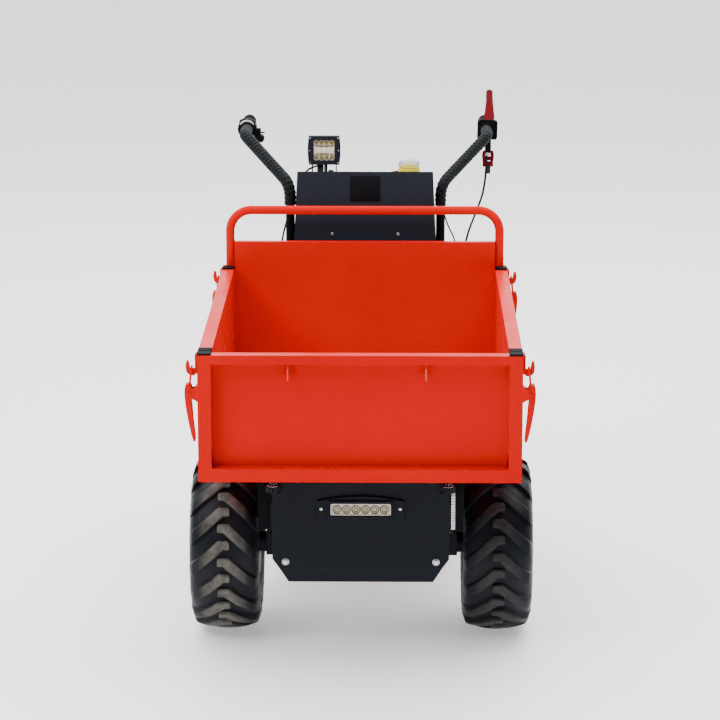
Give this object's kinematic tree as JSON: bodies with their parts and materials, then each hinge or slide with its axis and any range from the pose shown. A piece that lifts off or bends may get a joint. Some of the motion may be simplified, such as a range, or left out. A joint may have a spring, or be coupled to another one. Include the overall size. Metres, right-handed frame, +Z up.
{
  "type": "electric dumper",
  "caption": "Walk-behind electric dumper: tipping drop-side bed, two lugged drive wheels, swivelling rear casters, battery cabinet, handlebars and lamps.",
  "frame": {"origin": "on the ground, in the middle of the machine's overall length and width", "axes": "-Y is forward, towards the gate and drive wheels; +X is to the right as seen from the front; +Z is up"},
  "size_m": [0.796, 1.56, 1.1179],
  "materials": {
    "red_paint": "gloss",
    "black_paint": "satin",
    "zinc": "zinc plated",
    "rubber": "matte",
    "tyre": "matte",
    "dark_plastic": "matte",
    "battery_case": "matte",
    "reflector": "bright",
    "led": "gloss",
    "beacon_yellow": "gloss",
    "clear_dome": "clear",
    "red_plastic": "gloss",
    "steel": "bright"
  },
  "bodies": {
    "chassis": {"chassis_frame": "black_paint", "axle_beam": "black_paint", "drive_motor": "black_paint", "guard_plate": "black_paint", "light_bar": "black_paint", "light_bar_lens": "reflector", "buffers": "rubber", "corner_strips": "zinc", "cabinet": "black_paint", "battery_block": "battery_case", "console": "dark_plastic", "work_lamp": "black_paint", "work_lamp_lens": "led", "beacon_base": "beacon_yellow", "beacon_dome": "clear_dome", "handlebars": "black_paint", "sleeves": "rubber", "grips": "rubber", "throttle": "dark_plastic", "brake_perch": "dark_plastic", "brake_lever": "red_plastic", "cable_brake": "rubber", "cable_left": "rubber", "cable_right": "rubber", "cable_lamp": "rubber"},
    "bed": {"bed_floor": "red_paint", "bed_subframe": "red_paint", "rear_wall": "red_paint", "hoop": "red_paint", "rear_latches": "red_paint"},
    "gate": {"gate": "red_paint", "gate_caps": "dark_plastic", "gate_latches": "red_paint"},
    "side_left": {"side_left": "red_paint", "side_caps_left": "dark_plastic"},
    "side_right": {"side_right": "red_paint", "side_caps_right": "dark_plastic"},
    "wheel_left": {"tyre_left": "tyre", "rim_left": "black_paint"},
    "wheel_right": {"tyre_right": "tyre", "rim_right": "black_paint"},
    "caster_left": {"caster_fork_left": "black_paint"},
    "caster_right": {"caster_fork_right": "black_paint"},
    "caster_wheel_left": {"caster_tyre_left": "tyre", "caster_rim_left": "zinc"},
    "caster_wheel_right": {"caster_tyre_right": "tyre", "caster_rim_right": "zinc"},
    "cylinder_tube": {"cylinder_tube": "black_paint"},
    "cylinder_rod": {"cylinder_rod": "steel"}
  },
  "joints": [
    {"name": "bed_tilt", "type": "hinge", "parent": "chassis", "child": "bed", "pos_m": [0, -0.628, 0.392], "axis": [1, 0, 0], "range_deg": [0, 45]},
    {"name": "gate_hinge", "type": "hinge", "parent": "bed", "child": "gate", "pos_m": [0, -0.743, 0.446], "axis": [1, 0, 0], "range_deg": [0, 110]},
    {"name": "side_left_hinge", "type": "hinge", "parent": "bed", "child": "side_left", "pos_m": [-0.352, -0.28, 0.442], "axis": [0, -1, 0], "range_deg": [0, 90]},
    {"name": "side_right_hinge", "type": "hinge", "parent": "bed", "child": "side_right", "pos_m": [0.352, -0.28, 0.442], "axis": [0, 1, 0], "range_deg": [0, 90]},
    {"name": "wheel_left_spin", "type": "hinge", "parent": "chassis", "child": "wheel_left", "pos_m": [-0.317, -0.427, 0.205], "axis": [1, 0, 0], "continuous": true},
    {"name": "wheel_right_spin", "type": "hinge", "parent": "chassis", "child": "wheel_right", "pos_m": [0.317, -0.427, 0.205], "axis": [1, 0, 0], "continuous": true},
    {"name": "caster_left_swivel", "type": "hinge", "parent": "chassis", "child": "caster_left", "pos_m": [-0.19, 0.28, 0.26], "axis": [0, 0, 1], "continuous": true},
    {"name": "caster_right_swivel", "type": "hinge", "parent": "chassis", "child": "caster_right", "pos_m": [0.19, 0.28, 0.26], "axis": [0, 0, 1], "continuous": true},
    {"name": "caster_left_spin", "type": "hinge", "parent": "caster_left", "child": "caster_wheel_left", "pos_m": [-0.19, 0.32, 0.115], "axis": [1, 0, 0], "continuous": true},
    {"name": "caster_right_spin", "type": "hinge", "parent": "caster_right", "child": "caster_wheel_right", "pos_m": [0.19, 0.32, 0.115], "axis": [1, 0, 0], "continuous": true},
    {"name": "cylinder_swing", "type": "hinge", "parent": "chassis", "child": "cylinder_tube", "pos_m": [0, -0.58, 0.29], "axis": [1, 0, 0], "range_deg": [0, 40.5]},
    {"name": "cylinder_slide", "type": "slide", "parent": "cylinder_tube", "child": "cylinder_rod", "axis": [0, 0.907, 0.4211], "range_m": [0, 0.0817]}
  ],
  "couplings": [
    {"joint": "cylinder_swing", "follows": "bed_tilt", "ratio": 0.89342},
    {"joint": "cylinder_slide", "follows": "bed_tilt", "m_per_rad": 0.10345}
  ]
}
